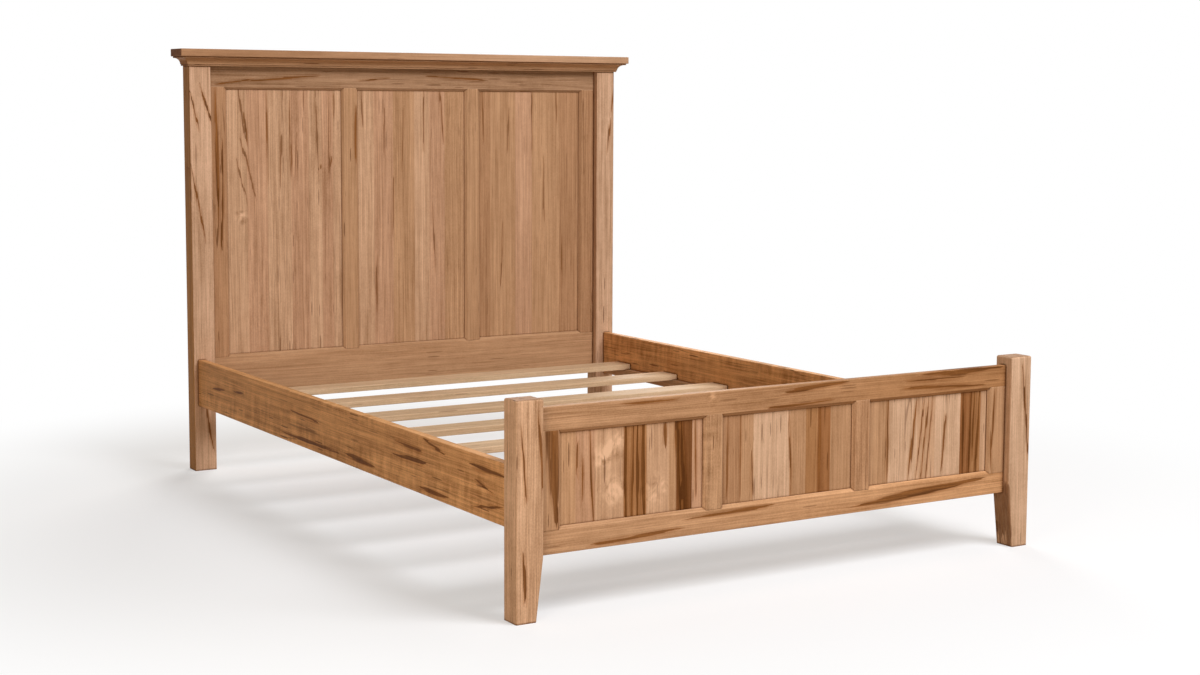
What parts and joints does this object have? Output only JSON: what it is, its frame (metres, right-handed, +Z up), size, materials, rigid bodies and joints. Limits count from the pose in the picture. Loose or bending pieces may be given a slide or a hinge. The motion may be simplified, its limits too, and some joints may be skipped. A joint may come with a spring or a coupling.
{
  "type": "panel bed frame",
  "caption": "Wooden panel bed frame with a tall headboard under a moulded crown, a low footboard on tapered legs, hooked side rails, slats and levelling centre legs.",
  "frame": {"origin": "on the floor under the middle of the bed's outer box", "axes": "+X to the right seen from the foot, +Y towards the headboard, +Z up"},
  "size_m": [1.698, 2.237, 1.384],
  "materials": {
    "maple": "satin clear coat",
    "slat_wood": "planed, bare",
    "plated_steel": "zinc plated",
    "screw_steel": "yellow zinc",
    "pad_plastic": "moulded"
  },
  "bodies": {
    "frame": {"centre_leg_1": "slat_wood", "centre_leg_2": "slat_wood", "centre_leg_3": "slat_wood", "cleat_screws": "screw_steel", "crown_cap": "maple", "crown_cove_front": "maple", "crown_cove_return_left": "maple", "crown_cove_return_right": "maple", "footboard_lower_rail": "maple", "footboard_mullion_left": "maple", "footboard_mullion_right": "maple", "footboard_panel_centre": "maple", "footboard_panel_left": "maple", "footboard_panel_right": "maple", "footboard_post_left": "maple", "footboard_post_right": "maple", "footboard_stile_left": "maple", "footboard_stile_right": "maple", "footboard_upper_rail": "maple", "headboard_lower_rail": "maple", "headboard_mullion_left": "maple", "headboard_mullion_right": "maple", "headboard_panel_centre": "maple", "headboard_panel_left": "maple", "headboard_panel_right": "maple", "headboard_post_left": "maple", "headboard_post_right": "maple", "headboard_stile_left": "maple", "headboard_stile_right": "maple", "headboard_upper_rail": "maple", "hook_plate_screws": "screw_steel", "leg_inserts": "plated_steel", "leg_screws": "screw_steel", "post_slot_plate_foot_left": "plated_steel", "post_slot_plate_foot_right": "plated_steel", "post_slot_plate_head_left": "plated_steel", "post_slot_plate_head_right": "plated_steel", "rail_hook_plate_foot_left": "plated_steel", "rail_hook_plate_foot_right": "plated_steel", "rail_hook_plate_head_left": "plated_steel", "rail_hook_plate_head_right": "plated_steel", "side_rail_left": "maple", "side_rail_right": "maple", "slat_1": "slat_wood", "slat_2": "slat_wood", "slat_3": "slat_wood", "slat_4": "slat_wood", "slat_5": "slat_wood", "slat_6": "slat_wood", "slat_7": "slat_wood", "slat_cleat_left": "slat_wood", "slat_cleat_right": "slat_wood", "slat_screws": "screw_steel"},
    "pad_1": {"levelling_pad_1": "pad_plastic"},
    "stud_1": {"levelling_stud_1": "plated_steel"},
    "pad_2": {"levelling_pad_2": "pad_plastic"},
    "stud_2": {"levelling_stud_2": "plated_steel"},
    "pad_3": {"levelling_pad_3": "pad_plastic"},
    "stud_3": {"levelling_stud_3": "plated_steel"}
  },
  "joints": [
    {"name": "foot_lift_1", "type": "slide", "parent": "frame", "child": "pad_1", "axis": [0, 0, 1], "range_m": [0, 0.015]},
    {"name": "stud_turn_1", "type": "hinge", "parent": "pad_1", "child": "stud_1", "pos_m": [0, -0.30433, 0.03], "axis": [0, 0, 1], "range_deg": [0, 3600]},
    {"name": "foot_lift_2", "type": "slide", "parent": "frame", "child": "pad_2", "axis": [0, 0, 1], "range_m": [0, 0.015]},
    {"name": "stud_turn_2", "type": "hinge", "parent": "pad_2", "child": "stud_2", "pos_m": [0, 0, 0.03], "axis": [0, 0, 1], "range_deg": [0, 3600]},
    {"name": "foot_lift_3", "type": "slide", "parent": "frame", "child": "pad_3", "axis": [0, 0, 1], "range_m": [0, 0.015]},
    {"name": "stud_turn_3", "type": "hinge", "parent": "pad_3", "child": "stud_3", "pos_m": [0, 0.30433, 0.03], "axis": [0, 0, 1], "range_deg": [0, 3600]}
  ],
  "couplings": [
    {"joint": "stud_turn_1", "follows": "foot_lift_1", "rad_per_m": 4188.8},
    {"joint": "stud_turn_2", "follows": "foot_lift_2", "rad_per_m": 4188.8},
    {"joint": "stud_turn_3", "follows": "foot_lift_3", "rad_per_m": 4188.8}
  ]
}
